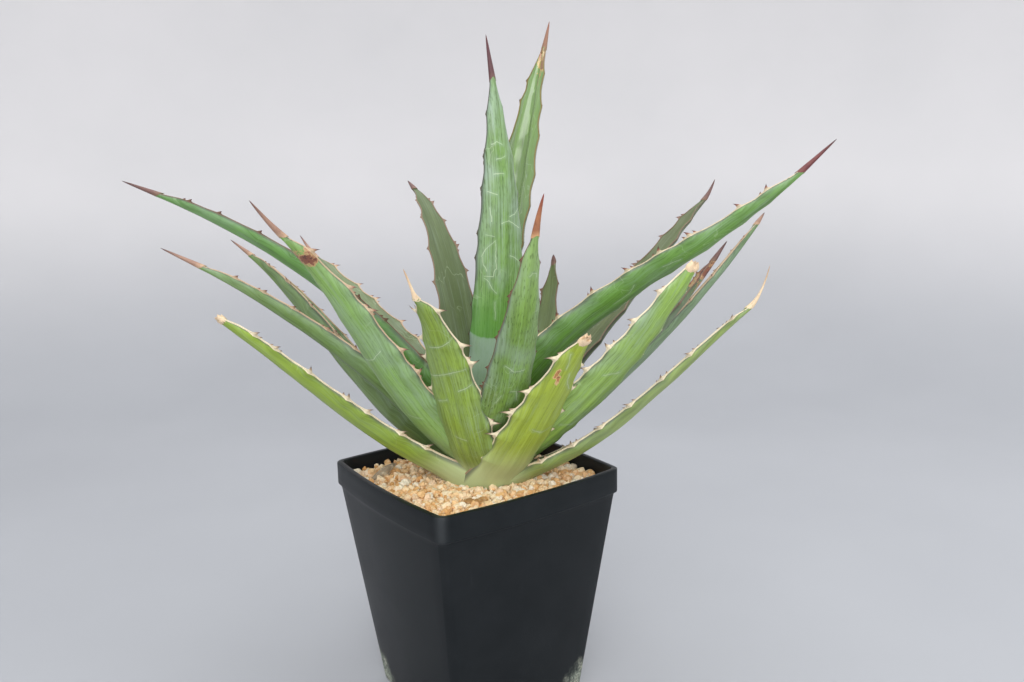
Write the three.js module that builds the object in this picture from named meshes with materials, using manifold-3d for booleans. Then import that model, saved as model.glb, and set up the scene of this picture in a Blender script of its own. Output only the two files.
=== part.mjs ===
// A young Agave xylonacantha in a square nursery pot.
// Millimetres, +Z up, origin at the middle of the pot's underside.
import * as THREE from "three";
import { mergeVertices } from "three/addons/utils/BufferGeometryUtils.js";
import Module from "manifold-3d";

const wasm = await Module();
wasm.setup();

// Pot: square, tapered, open at the top, with a straight band round its rim. Its sides bow out, so the
// corners lie a little inside the square round their middles.
const POT_SIDE = 110;
const POT_HEIGHT = 120;
const FOOT_SIDE = 80;
const BAND_HEIGHT = 12;
const BAND_PROUD = 1.2;
const WALL = 1.6;
const FLOOR = 2.4;
const CORNER_RADIUS = 6;
const SIDE_BOW = 3.6;
const DRAIN_RADIUS = 5;
const DRAIN_SIDES = 12;
const DRAIN_RING = 24;
const DRAIN_COUNT = 8;

// Grit: it fills the pot, lies higher at the front corner, and has a plain hole for the stem.
const GRIT_LEVEL = 113;
const GRIT_TILT = 3;
const GRAIN = 5;
const GRAIN_RELIEF = 0.9;

// Stem: a short stock in the grit, with the crown that carries the leaves above it.
const CROWN_X = 4;
const CROWN_Y = -5;
const STEM_RADIUS = 7;
const STEM_SIDES = 16;
const STEM_DEPTH = 26;
const STEM_FOOT_RADIUS = 5;
const NECK_HEIGHT = 4;
const CROWN_HEIGHT = 28;
const CROWN_TOP_RADIUS = 2;

// Every piece keeps this clear of the next one.
const GAP = 0.3;

// Leaves: each starts inside the crown, higher up and nearer the middle the younger it is.
const FIRST_LEAF_HEIGHT = 1;
const LEAF_STEP_UP = 1.2;
const FIRST_LEAF_OUT = 3;
const LEAF_STEP_IN = 0.1;
const WIDEST_AT = 0.28;
const BASE_SHARE = 1.25;
const TIP_SHARE = 0.07;
const BELLY_AT_BASE = 8;
const BELLY_AT_TIP = 2.2;
const BELLY_THINS_BY = 0.75;
const HEEL = 3;
const HEEL_ENDS_AT = 0.16;
const SHOULDER_OUT = 0.72;
const SHOULDER_DOWN = 0.68;
const CHANNEL = 2;
const WAVE = 0.7;
const BLADE_STATIONS = 15;
const LINE_STEPS = 60;

// A blade's edge is sharp, so it moves out by more than the gap when the blade is grown by it.
const EDGE_GROWS = 1.6;

// Horny margin: a border along both edges, with hooked teeth, that runs out into the end spine.
const TOOTH_STEP = 18;
const TOOTH = 3;
const TOOTH_VARIES = 2;
const TOOTH_SHRINKS = 0.35;
const TOOTH_FOOT = 2.6;
const TOOTH_LEAN = 1.6;
const TOOTH_RISE = THREE.MathUtils.degToRad(38);
const HOOKED_BACK = 0.75;
const BORDER_OUT = 0.8;
const BORDER_HALF_HEIGHT = 0.7;
const BORDER_STARTS_OUT = 0.3;
const MARGIN_FROM = 0.17;
const SPINE_SHOULDER = 0.5;
const SPINE_RIDGE = 1;
const SPINE_DROP = 0.4;
const BLUNT_END = 3;

const GREEN = { fresh: 0x4f8f3a, blue: 0x4c7a52, old: 0x9aab3e };
const HORN = { cream: 0xd9c9a0, tan: 0xb58a68, brown: 0x7a4a3a, maroon: 0x5a2730, orange: 0xa86842 };

// One row a leaf, oldest first. Degrees: heading of its base and how far it swings round by the tip, rise at
// the base, the middle and the tip, and roll about its own line. Millimetres: how deep the blade is folded,
// blade, end spine and how far the spine turns up, widest part, and what a broken leaf has lost of its tip.
// Then the size of its teeth as a share of the largest.
const LEAVES = [
  [261, 8, 35, 47, 48, -5, 1, 116, 0, 0, 26.5, 6, 1, "old", "cream"],
  [158, -1, 22, 40, 38, 20, 1.5, 146, 0, 0, 24, 12, 1, "old", "cream"],
  [309, 3, 11, 40, 40, -9, 1, 152, 20, 9, 23, 0, 1, "old", "cream"],
  [57, 0, 12, 28, 30, 0, 2, 150, 18, 0, 24, 0, 0.8, "blue", "tan"],
  [334, -2, 29, 41, 52, -18, 1.5, 184, 6, 0, 23, 0, 0.5, "blue", "tan"],
  [153, 4, 48, 41, 28, 16, 3, 165, 18, 0, 23, 0, 0.7, "blue", "tan"],
  [292, 4, 32, 45, 58, -25, 1, 145, 0, 0, 24, 12, 0.7, "fresh", "cream"],
  [223, -3, 24, 55, 27, -10, 1, 135, 12, 7, 24, 0, 0.9, "old", "cream"],
  [122, 4, 14, 46, 33, 24, 8, 168, 14, 0, 27, 0, 0.8, "blue", "tan"],
  [323, 0, 28, 42, 54, 0, 2, 148, 10, 0, 22, 0, 0.6, "blue", "brown"],
  [66, 0, 24, 32, 28, 0, 2, 118, 14, 0, 22, 0, 0.8, "blue", "tan"],
  [192, 0, 26, 54, 40, 8, 1.5, 157, 18, 2, 25, 0, 0.9, "fresh", "tan"],
  [146, 4, 62, 41, 22, 16, 3.5, 200, 16, 0, 24, 0, 0.7, "fresh", "brown"],
  [103, 0, 43, 34, 34, 0, 3, 160, 18, 2, 23, 0, 0.9, "blue", "brown"],
  [308, -3, 74, 34, 43, -24, 2, 198, 18, 0, 25, 0, 0.9, "fresh", "maroon"],
  [351, -1, 34, 43, 42, 0, 2, 180, 12, 3, 23, 0, 0.7, "blue", "brown"],
  [246, 1, 29, 46, 59, 12, 1, 152, 16, 0, 23, 0, 0.45, "blue", "orange"],
  [78, 9, 58, 65, 30, 0, 1, 150, 8, 0, 21, 0, 0.5, "blue", "brown"],
  [24, -8, 20, 49, 88, 0, 1, 114, 3, 0, 19, 0, 0.4, "blue", "brown"],
  [258, 4, 72, 82, 104.5, 0, 1, 171, 20, 0, 25, 0, 0.35, "fresh", "maroon"],
  [14, -6, 82, 75, 72, 0, 3, 195, 14, 0, 27, 0, 0.35, "fresh", "maroon"],
  [330, 0, 80, 84, 86, 0, 1, 104, 12, 0, 12, 0, 0.35, "fresh", "maroon"],
].map((row, age) => {
  const [heading, swing, low, middle, high, roll, fold, blade, spine, hook, width, lost, teeth] = row;
  const [green, horn] = row.slice(-2);
  return {
    name: String(age + 1).padStart(2, "0"),
    age,
    heading: THREE.MathUtils.degToRad(heading),
    swing: THREE.MathUtils.degToRad(swing),
    rises: [low, middle, high].map(THREE.MathUtils.degToRad),
    roll: THREE.MathUtils.degToRad(roll),
    fold,
    blade,
    spine,
    hook,
    width,
    teeth,
    whole: blade + lost,
    green: GREEN[green],
    horn: HORN[horn],
  };
});

function material(color, roughness) {
  return new THREE.MeshStandardMaterial({ color, roughness, metalness: 0 });
}

// A repeatable number from 0 to 1 for each pair of whole numbers.
function chance(i, j) {
  const s = Math.sin(i * 127.1 + j * 311.7) * 43758.5453;
  return s - Math.floor(s);
}

// A closed skin over rings of equal length, with a fan over each end from its first point.
function loft(rings) {
  const n = rings[0].length;
  const positions = rings.flat().flatMap((p) => [p.x, p.y, p.z]);
  const index = [];
  for (let r = 0; r + 1 < rings.length; r++)
    for (let i = 0; i < n; i++) {
      const a = r * n + i;
      const b = r * n + ((i + 1) % n);
      index.push(a, b, b + n, a, b + n, a + n);
    }
  const last = (rings.length - 1) * n;
  for (let i = 1; i + 1 < n; i++) index.push(0, i + 1, i, last, last + i, last + i + 1);
  const geometry = new THREE.BufferGeometry();
  geometry.setAttribute("position", new THREE.Float32BufferAttribute(positions, 3));
  geometry.setIndex(index);
  return geometry;
}

function toSolid(geometry) {
  const bare = geometry.clone();
  bare.deleteAttribute("normal");
  bare.deleteAttribute("uv");
  const merged = mergeVertices(bare, 1e-4);
  const mesh = new wasm.Mesh({
    numProp: 3,
    vertProperties: merged.attributes.position.array,
    triVerts: new Uint32Array(merged.index.array),
  });
  return new wasm.Manifold(mesh);
}

function toGeometry(solid) {
  const mesh = solid.getMesh();
  const geometry = new THREE.BufferGeometry();
  geometry.setAttribute("position", new THREE.BufferAttribute(mesh.vertProperties, 3));
  geometry.setIndex(new THREE.BufferAttribute(mesh.triVerts, 1));
  return geometry;
}

function largestBody(solid) {
  return solid.decompose().reduce((a, b) => (a.volume() > b.volume() ? a : b));
}

// The pot's outline at one height: rounded corners, and sides that draw in from their middle to them.
function squareRing(side, radius, bow, z) {
  const ring = [];
  const flat = side / 2 - radius;
  for (let corner = 0; corner < 4; corner++) {
    const points = [];
    for (let i = 0; i <= 4; i++) {
      const a = (i / 4) * (Math.PI / 2);
      points.push([flat + radius * Math.cos(a), flat + radius * Math.sin(a), Math.cos(a), Math.sin(a)]);
    }
    for (const share of [0.5, 0, -0.5]) points.push([flat * share, side / 2, 0, 1]);
    for (const [x, y, nx, ny] of points) {
      const swell = -bow * ((nx * 2 * y / side) ** 2 + (ny * 2 * x / side) ** 2);
      const p = new THREE.Vector3(x + nx * swell, y + ny * swell, z);
      ring.push(p.applyAxisAngle(new THREE.Vector3(0, 0, 1), corner * Math.PI / 2));
    }
  }
  return ring;
}

// Side length of the pot's outer wall at a height, without the band.
function wallSide(z) {
  const top = POT_SIDE - 2 * BAND_PROUD;
  return THREE.MathUtils.lerp(FOOT_SIDE, top, z / (POT_HEIGHT - BAND_HEIGHT));
}

function cavityRing(z, clearance) {
  const side = wallSide(Math.min(z, POT_HEIGHT - BAND_HEIGHT)) - 2 * (WALL + clearance);
  return squareRing(side, CORNER_RADIUS - WALL, SIDE_BOW * side / POT_SIDE, z);
}

function potRing(z, proud) {
  const side = wallSide(Math.min(z, POT_HEIGHT - BAND_HEIGHT)) + 2 * proud;
  return squareRing(side, CORNER_RADIUS, SIDE_BOW * side / POT_SIDE, z);
}

function potShell() {
  const bandFoot = POT_HEIGHT - BAND_HEIGHT;
  return loft([
    potRing(0, 0),
    potRing(bandFoot, 0),
    potRing(bandFoot, BAND_PROUD),
    potRing(POT_HEIGHT, BAND_PROUD),
    cavityRing(POT_HEIGHT, 0),
    cavityRing(bandFoot, 0),
    cavityRing(FLOOR, 0),
  ]);
}

function drainHole(x, y) {
  const hole = new THREE.CylinderGeometry(DRAIN_RADIUS, DRAIN_RADIUS, 4 * FLOOR, DRAIN_SIDES);
  hole.rotateX(Math.PI / 2);
  hole.translate(x, y, 0);
  return toSolid(hole);
}

function pot() {
  let shell = toSolid(potShell());
  for (let i = 0; i < DRAIN_COUNT; i++) {
    const a = (i / DRAIN_COUNT) * 2 * Math.PI;
    shell = shell.subtract(drainHole(DRAIN_RING * Math.cos(a), DRAIN_RING * Math.sin(a)));
  }
  return toGeometry(shell);
}

function stem(grown) {
  const profile = [
    new THREE.Vector2(0, -STEM_DEPTH - grown),
    new THREE.Vector2(STEM_FOOT_RADIUS + grown, -STEM_DEPTH - grown),
    new THREE.Vector2(STEM_RADIUS + grown, -STEM_DEPTH / 2),
    new THREE.Vector2(STEM_RADIUS + grown, NECK_HEIGHT),
    new THREE.Vector2(CROWN_TOP_RADIUS + grown, CROWN_HEIGHT + grown),
    new THREE.Vector2(0, CROWN_HEIGHT + grown),
  ];
  const lathe = new THREE.LatheGeometry(profile, STEM_SIDES);
  lathe.rotateX(Math.PI / 2);
  lathe.translate(CROWN_X, CROWN_Y, GRIT_LEVEL);
  return lathe;
}

// Height of the grit's top: tilted up to the front corner, and uneven by its grains.
function gritHeight(x, y, i, j) {
  const tilt = (-GRIT_TILT * (x + y)) / POT_SIDE;
  return GRIT_LEVEL + tilt + GRAIN_RELIEF * (2 * chance(i, j) - 1);
}

function gritTop() {
  const cells = Math.ceil(POT_SIDE / GRAIN);
  const positions = [];
  for (let j = 0; j <= cells; j++)
    for (let i = 0; i <= cells; i++) {
      const x = (i / cells - 0.5) * POT_SIDE;
      const y = (j / cells - 0.5) * POT_SIDE;
      positions.push(x, y, gritHeight(x, y, i, j));
    }
  return { cells, positions };
}

// The block of grit under its grainy top, wider than the pot.
function gritBlock() {
  const { cells, positions } = gritTop();
  const n = cells + 1;
  const index = [];
  const rim = [];
  for (let j = 0; j < cells; j++)
    for (let i = 0; i < cells; i++) {
      const a = j * n + i;
      index.push(a, a + 1, a + n + 1, a, a + n + 1, a + n);
    }
  for (let i = 0; i < cells; i++) rim.push(i);
  for (let j = 0; j < cells; j++) rim.push(j * n + cells);
  for (let i = cells; i > 0; i--) rim.push(cells * n + i);
  for (let j = cells; j > 0; j--) rim.push(j * n);
  const foot = positions.length / 3;
  for (const r of rim) positions.push(positions[3 * r], positions[3 * r + 1], 0);
  const middle = positions.length / 3;
  positions.push(0, 0, 0);
  rim.forEach((top, k) => {
    const next = (k + 1) % rim.length;
    index.push(top, foot + k, foot + next, top, foot + next, rim[next]);
    index.push(middle, foot + next, foot + k);
  });
  const geometry = new THREE.BufferGeometry();
  geometry.setAttribute("position", new THREE.Float32BufferAttribute(positions, 3));
  geometry.setIndex(index);
  return geometry;
}

function stemHole() {
  const radius = STEM_RADIUS + 2 * GAP;
  const depth = STEM_DEPTH + 2 * GAP;
  const hole = new THREE.CylinderGeometry(radius, radius, 2 * depth, STEM_SIDES);
  hole.rotateX(Math.PI / 2);
  hole.translate(CROWN_X, CROWN_Y, GRIT_LEVEL);
  return toSolid(hole);
}

function grit(leafBases) {
  const levels = [FLOOR + GAP, POT_HEIGHT - BAND_HEIGHT, POT_HEIGHT];
  const fill = loft(levels.map((z) => cavityRing(z, GAP)));
  const bed = toSolid(gritBlock()).intersect(toSolid(fill)).subtract(stemHole());
  return toGeometry(largestBody(leafBases.reduce((rest, base) => rest.subtract(base), bed)));
}

// A leaf's rise at a share of its blade, on the curve through its rises at the base, the middle and the tip.
function riseAt(leaf, x) {
  const [low, middle, high] = leaf.rises;
  return low * (1 - x) * (1 - 2 * x) + middle * 4 * x * (1 - x) + high * x * (2 * x - 1);
}

// The line of a leaf: places and directions at equal steps of its length, from the crown to the blade's end.
function leafLine(leaf) {
  const out = FIRST_LEAF_OUT - LEAF_STEP_IN * leaf.age;
  const place = new THREE.Vector3(
    CROWN_X + out * Math.cos(leaf.heading),
    CROWN_Y + out * Math.sin(leaf.heading),
    GRIT_LEVEL + FIRST_LEAF_HEIGHT + LEAF_STEP_UP * leaf.age,
  );
  const line = [];
  for (let i = 0; i <= LINE_STEPS; i++) {
    const x = i / LINE_STEPS;
    const rise = riseAt(leaf, x);
    const heading = leaf.heading + leaf.swing * x;
    const along = new THREE.Vector3(
      Math.cos(rise) * Math.cos(heading),
      Math.cos(rise) * Math.sin(heading),
      Math.sin(rise),
    );
    const level = new THREE.Vector3(-Math.sin(heading), Math.cos(heading), 0);
    const across = level.applyAxisAngle(along, leaf.roll);
    const up = new THREE.Vector3().crossVectors(along, across);
    line.push({ place: place.clone(), along, across, up });
    place.addScaledVector(along, leaf.blade / LINE_STEPS);
  }
  return line;
}

// The leaf's place and directions at a share of its blade.
function leafFrame(leaf, x) {
  leaf.line ??= leafLine(leaf);
  const at = Math.min(Math.max(x, 0), 1) * LINE_STEPS;
  const i = Math.min(Math.floor(at), LINE_STEPS - 1);
  const { along, across, up } = leaf.line[Math.round(at)];
  const place = leaf.line[i].place.clone().lerp(leaf.line[i + 1].place, at - i);
  return { place, along, across, up };
}

// Half the blade's width: broad at the base, widest a quarter of the way up, then tapering to the tip.
function halfWidth(leaf, x) {
  const share = (x * leaf.blade) / leaf.whole;
  if (share < WIDEST_AT) {
    const near = THREE.MathUtils.smoothstep(share, 0, WIDEST_AT);
    return 0.5 * leaf.width * THREE.MathUtils.lerp(BASE_SHARE, 1, near);
  }
  const far = (share - WIDEST_AT) / (1 - WIDEST_AT);
  return 0.5 * leaf.width * (1 - (1 - TIP_SHARE) * far ** 2);
}

// How deep the belly hangs below the blade's edges. The heel, where the leaf clasps the stem, is deeper.
function belly(leaf, x) {
  const share = (x * leaf.blade) / leaf.whole;
  const heel = HEEL * (1 - THREE.MathUtils.smoothstep(share, 0, HEEL_ENDS_AT));
  return heel + THREE.MathUtils.lerp(BELLY_AT_BASE, BELLY_AT_TIP, share ** BELLY_THINS_BY);
}

function channel(leaf, x) {
  return CHANNEL * Math.min(1, 2 * halfWidth(leaf, x) / leaf.width) * (1 - 0.5 * x);
}

// The places of one edge's teeth, as shares of the blade, drawn for each leaf and side.
function toothPlaces(leaf, side) {
  const places = [];
  const count = Math.round((leaf.blade * (1 - MARGIN_FROM)) / TOOTH_STEP);
  for (let i = 0; i < count; i++) {
    const jitter = 0.5 * (chance(leaf.age + 1, 7 * i + side) - 0.5);
    places.push(MARGIN_FROM + ((i + 0.5 + jitter) / (count + 0.3)) * (1 - MARGIN_FROM));
  }
  return places;
}

// How far the blade's edge waves out at a share of its length: up to WAVE at a tooth, nothing between.
function wave(leaf, x, side) {
  const nearest = Math.min(...toothPlaces(leaf, side).map((t) => Math.abs(t - x))) * leaf.blade;
  return WAVE * leaf.teeth * Math.max(0, Math.cos(Math.min(1, (2 * nearest) / TOOTH_STEP) * Math.PI / 2));
}

// How far a folded blade's edges stand above its line, and its middle below it.
function foldRise(leaf, x) {
  return leaf.fold * Math.min(0.5, halfWidth(leaf, x) / leaf.width);
}

// A blade's section: a channelled inner face between its edges, and a rounded belly below, folded upwards.
function bladeRing(leaf, x, grown) {
  const { place, across, up } = leafFrame(leaf, x);
  const half = halfWidth(leaf, x);
  const depth = belly(leaf, x);
  const left = half + wave(leaf, x, -1) + EDGE_GROWS * grown;
  const right = half + wave(leaf, x, 1) + EDGE_GROWS * grown;
  const shoulder = SHOULDER_OUT * (half + grown);
  const rise = foldRise(leaf, x);
  const side = (2 * SHOULDER_OUT - 1) * rise - SHOULDER_DOWN * depth - grown;
  const steep = (channel(leaf, x) + 2 * rise) / half;
  const edge = rise + grown * (1 + EDGE_GROWS * steep);
  const points = [
    [0, -channel(leaf, x) - rise + grown],
    [-left, edge],
    [-shoulder, side],
    [0, -depth - rise - grown],
    [shoulder, side],
    [right, edge],
  ];
  return points.map(([s, h]) => place.clone().addScaledVector(across, s).addScaledVector(up, h));
}

function bladeSolid(leaf, grown) {
  const rings = [];
  for (let i = 0; i <= BLADE_STATIONS; i++) rings.push(bladeRing(leaf, i / BLADE_STATIONS, grown));
  return toSolid(loft(rings));
}

// Places a point by its distances from the leaf's line: across the blade, up from it and on along it.
function beside({ place, along, across, up }, s, h, l) {
  return place.clone().addScaledVector(across, s).addScaledVector(up, h).addScaledVector(along, l);
}

// The border's section: a tall inner side along the blade's edge, and a point outwards and up.
function borderRing(leaf, x, side, out, lean, grown) {
  const frame = leafFrame(leaf, x);
  const edge = halfWidth(leaf, x) + wave(leaf, x, side) + GAP;
  const tall = BORDER_HALF_HEIGHT + grown;
  const rise = foldRise(leaf, x);
  const reach = out + 2 * grown;
  return [
    beside(frame, side * (edge - grown), rise - tall, 0),
    beside(frame, side * (edge - grown), rise + tall, 0),
    beside(frame, side * (edge + reach * Math.cos(TOOTH_RISE)), rise + reach * Math.sin(TOOTH_RISE), lean),
  ];
}

// Stations of one edge's border, from the base to the tip: a foot on both sides of each tooth's point.
function borderStations(leaf, side) {
  const foot = (TOOTH_FOOT * Math.sqrt(leaf.teeth)) / leaf.blade;
  const stations = [[MARGIN_FROM, BORDER_STARTS_OUT, 0]];
  toothPlaces(leaf, side).forEach((x, i) => {
    const drawn = TOOTH + TOOTH_VARIES * chance(3 * leaf.age + 5, 11 * i + side);
    const size = BORDER_OUT + leaf.teeth * (drawn * (1 - TOOTH_SHRINKS * x) - BORDER_OUT);
    const lean = TOOTH_LEAN * leaf.teeth * (chance(leaf.age, 13 * i - side) < HOOKED_BACK ? -1 : 1);
    stations.push([x - foot, BORDER_OUT, 0], [x, size, lean], [x + foot, BORDER_OUT, 0]);
  });
  return stations;
}

// The margin's section past the blade's end, on one side of it: the foot of the end spine.
function shoulderRing(leaf, side, grown) {
  const frame = leafFrame(leaf, 1);
  const half = halfWidth(leaf, 1) + SPINE_SHOULDER;
  const depth = belly(leaf, 1) + grown;
  const rise = foldRise(leaf, 1);
  const on = 2 * GAP - grown;
  return [
    beside(frame, side * half, -depth, on),
    beside(frame, side * half, rise + BORDER_HALF_HEIGHT + grown, on),
    beside(frame, side * (half + BORDER_OUT + grown), -SPINE_DROP * depth, on),
  ];
}

// The margin's section in the middle of the blade's end, drawn out into the end spine.
function spineRing(leaf, grown) {
  const frame = leafFrame(leaf, 1);
  const depth = belly(leaf, 1) + grown;
  const on = 2 * GAP - grown;
  const end = (leaf.spine || BLUNT_END) + 2 * grown;
  return [
    beside(frame, 0, -depth - foldRise(leaf, 1) - GAP, on),
    beside(frame, 0, SPINE_RIDGE + grown, on),
    beside(frame, 0, leaf.hook - SPINE_DROP * depth, Math.sqrt(end ** 2 - leaf.hook ** 2)),
  ];
}

// A leaf's whole margin in one piece: up one edge, round the tip as its end spine, and down the other.
function marginSolid(leaf, grown) {
  const edge = (side) => {
    const stations = borderStations(leaf, side);
    return stations.map(([x, out, lean]) => borderRing(leaf, x, side, out, lean, grown));
  };
  const end = [shoulderRing(leaf, -1, grown), spineRing(leaf, grown), shoulderRing(leaf, 1, grown)];
  return toSolid(loft([...edge(-1), ...end, ...edge(1).reverse()]));
}

const group = new THREE.Group();
function addPiece(name, geometry, color, roughness) {
  const mesh = new THREE.Mesh(geometry, material(color, roughness));
  mesh.name = name;
  group.add(mesh);
}

// Cuts a piece clear of the grown copies that it meets.
function cutClear(solid, grownCopies) {
  const met = grownCopies.filter((copy) => solid.intersect(copy).volume() > 0);
  return met.length ? largestBody(met.reduce((rest, copy) => rest.subtract(copy), solid)) : solid;
}

function build() {
  const grown = LEAVES.map((leaf) => bladeSolid(leaf, GAP));
  const grownStem = toSolid(stem(GAP));
  // An older leaf lies outside the younger ones, so they shape its base.
  const blades = LEAVES.map((leaf, i) => cutClear(bladeSolid(leaf, 0), [grownStem, ...grown.slice(i + 1)]));
  const grownMargins = LEAVES.map((leaf) => marginSolid(leaf, GAP));
  const margins = LEAVES.map((leaf, i) => {
    const others = [...grown.filter((_, k) => k !== i), ...grownMargins.slice(i + 1)];
    return cutClear(marginSolid(leaf, 0), others);
  });
  addPiece("pot", pot(), 0x15161a, 0.45);
  addPiece("grit", grit(grown), 0xd9b893, 0.95);
  addPiece("stem", stem(0), 0xb9b48a, 0.7);
  LEAVES.forEach((leaf, i) => {
    addPiece("leaf_" + leaf.name, toGeometry(blades[i]), leaf.green, 0.5);
    addPiece("margin_" + leaf.name, toGeometry(margins[i]), leaf.horn, 0.6);
  });
}

build();
export default group;
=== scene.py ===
"""A young agave in a square nursery pot: the looks of its leaves, horn, grit and pot.

Shapes are worked out in millimetres, as in the part's source, and written to the meshes in metres.
"""

import math

import bmesh
import bpy
import numpy as np
from mathutils import Euler, Matrix, Vector, noise


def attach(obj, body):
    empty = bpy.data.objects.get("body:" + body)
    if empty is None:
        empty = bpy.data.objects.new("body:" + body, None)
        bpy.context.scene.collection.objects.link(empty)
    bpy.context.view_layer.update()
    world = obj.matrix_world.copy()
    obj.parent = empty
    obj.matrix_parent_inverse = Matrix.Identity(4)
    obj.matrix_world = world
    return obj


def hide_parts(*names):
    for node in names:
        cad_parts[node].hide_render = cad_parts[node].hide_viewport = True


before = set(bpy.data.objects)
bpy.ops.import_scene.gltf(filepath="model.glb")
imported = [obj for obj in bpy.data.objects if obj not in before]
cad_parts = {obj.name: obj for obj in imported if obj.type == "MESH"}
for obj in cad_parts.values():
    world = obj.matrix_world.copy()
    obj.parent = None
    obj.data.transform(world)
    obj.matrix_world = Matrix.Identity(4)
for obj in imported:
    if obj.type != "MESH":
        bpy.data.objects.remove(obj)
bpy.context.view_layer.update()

MM = 0.001

# Pot
POT_SIDE = 110
POT_HEIGHT = 120
FOOT_SIDE = 80
BAND_HEIGHT = 12
BAND_FOOT = POT_HEIGHT - BAND_HEIGHT
BAND_PROUD = 1.2
WALL = 1.6
FLOOR = 2.4
CORNER_RADIUS = 6
INNER_RADIUS = CORNER_RADIUS - WALL
SIDE_BOW = 3.6
DRAIN_RADIUS = 5
DRAIN_RING = 24
DRAIN_COUNT = 8
DRAIN_SIDES = 40
POT_CORNER_STEPS = 10
POT_SIDE_STEPS = 14

# The band's rings: how far above its foot each lies, and how far behind its face, in mm.
BAND_RINGS = [(-0.9, 1.15), (-0.15, 0.9), (0, 0.5), (0.25, 0.15), (0.8, 0), (4, 0), (8, 0), (11.3, 0),
              (11.8, 0.15), (BAND_HEIGHT, 0.6)]

# Grit
GRIT_LEVEL = 113
GRIT_TILT = 3
GRIT_REACH = 52
GRAIN_STEP = 2.45
GRAIN_STRAYS = 0.7
GRAIN_RADIUS = 1.3
STONE_KINDS = 6
STONE_UNEVEN = 0.42
BED_CELLS = 40
BED_BELOW = 1.4
BED_UNEVEN = 0.6
BED_LUMP = 6

# Larger stones that lie on the grit: place, how far they stand up, half sizes, tilt, turn and tone.
PEBBLES = [
    (-36, 30, 2.6, (8.2, 2.1, 1.7), -16, 12, 1.25),
    (-18, -34, 0.4, (2.6, 2.1, 1.6), 0, 20, 0.05),
    (2, -36, 1.0, (3.3, 2.4, 1.7), 5, -30, 1.05),
    (-22, -34.5, 0.9, (5.6, 2.9, 1.2), 4, -34, 0.02),
    (24, -24, 0.9, (3.2, 2.3, 1.7), 8, -25, 1.12),
    (33, -40, 0.3, (2.4, 2.0, 1.7), 0, 30, 1.08),
    (-34, -13, 0.6, (2.2, 1.8, 1.5), 0, 50, 1.1),
]

# Leaves: the source's values, with a finer mesh
CROWN_X = 4
CROWN_Y = -5
FIRST_LEAF_HEIGHT = 1
LEAF_STEP_UP = 1.2
FIRST_LEAF_OUT = 3
LEAF_STEP_IN = 0.1
WIDEST_AT = 0.28
BASE_SHARE = 1.25
TIP_SHARE = 0.07
TIP_HALF = 1.4
BELLY_AT_BASE = 8
BELLY_AT_TIP = 2.2
BELLY_THINS_BY = 0.75
BELLY_ROUND = 0.95
BELLY_UNEVEN = 0.6
HEEL = 3
HEEL_ENDS_AT = 0.16
CHANNEL = 2
WAVE = 2.3
END_DROP = 0.42
END_DROPS_FROM = 0.94
LOBE = 0.15
FLUTED_LEAF = "21"
FLUTE = 2.3
FULL_RELIEF_AT = 9
INNER_MARK = 40
LINE_STEPS = 60
STATIONS = 110
INNER_STEPS = 18
BELLY_STEPS = 26

# Horn: border, teeth and end spine
TOOTH_STEP = 18
TOOTH_STRAYS = 0.5
TOOTH = 3
TOOTH_VARIES = 2
TOOTH_SHRINKS = 0.35
TOOTH_SHOWN = 0.75
TOOTH_LEAN = 1.6
TOOTH_RISE = math.radians(38)
TOOTH_ROOT = 0.15
HOOKED_BACK = 0.75
HOOK_REACH = 1.25
HOOK_STATIONS = (0, 0.08, 0.2, 0.4, 0.7, 1.1, 1.6)
TEAT = 2.0
TEAT_REACH = 3.6
MARGIN_FROM = 0.17
BORDER_FROM = 0.02
BORDER_STEP = 1.4
BORDER_SLIM_UNDER = 4
SPINE_DROP = 0.4
SPINE_LOW = 0.48
SPINE_WIDER = 0.18
SPINE_TALLER = 0.2
SPINE_POINT = 0.04
SPINE_TAPER = 0.72
SPINE_HOLLOW = 0.1
SPINE_STATIONS = 30
SPINE_SIDES = 20

# Small hooks beside a tooth: their side, the numbers of their draws, how likely one is, how far off it stands
# at most in mm, and its size, reach and lean against the tooth's.
SIDE_HOOKS = [
    (1, (7, 17, 5), 0.6, 3.2, 0.7, 0.9, 0.5),
    (-1, (9, 19, 3), 0.5, 3.4, 0.55, 0.8, 0.6),
]
SIDE_HOOK_NEAREST = 1.9

# The cap on a broken leaf: how far ahead each ring lies, its size, and how far it stands out, in mm.
STUB_RINGS = [(-2.2, 1.0, 0.15), (-1.2, 1.02, 0.45), (-0.1, 1.02, 0.45), (0.8, 0.96, 0.3), (1.5, 0.8, 0.1),
              (2.0, 0.55, 0), (1.4, 0.25, 0)]
STUB_SIDES = 24
STUB_RAGGED = 0.45
STUB_LUMPS = 2.2

# Spines that bend sideways, by how far their tips are off in mm, and old ones that have shrunk hollow.
SPINE_BENDS = {"08": -3.6, "17": 1.2, "03": 0.8}
SHRUNKEN_SPINES = {"03": 0.4, "08": 0.5}

# Edges that wave less than the others: the shares of the wave that are left at either edge.
CALM_EDGES = {"01": (1, 0.35), "08": (0.35, 0.8), "12": (0.3, 1), "17": (0.4, 0.4), "18": (0.5, 0.7),
              "20": (0.5, 0.5)}

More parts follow.
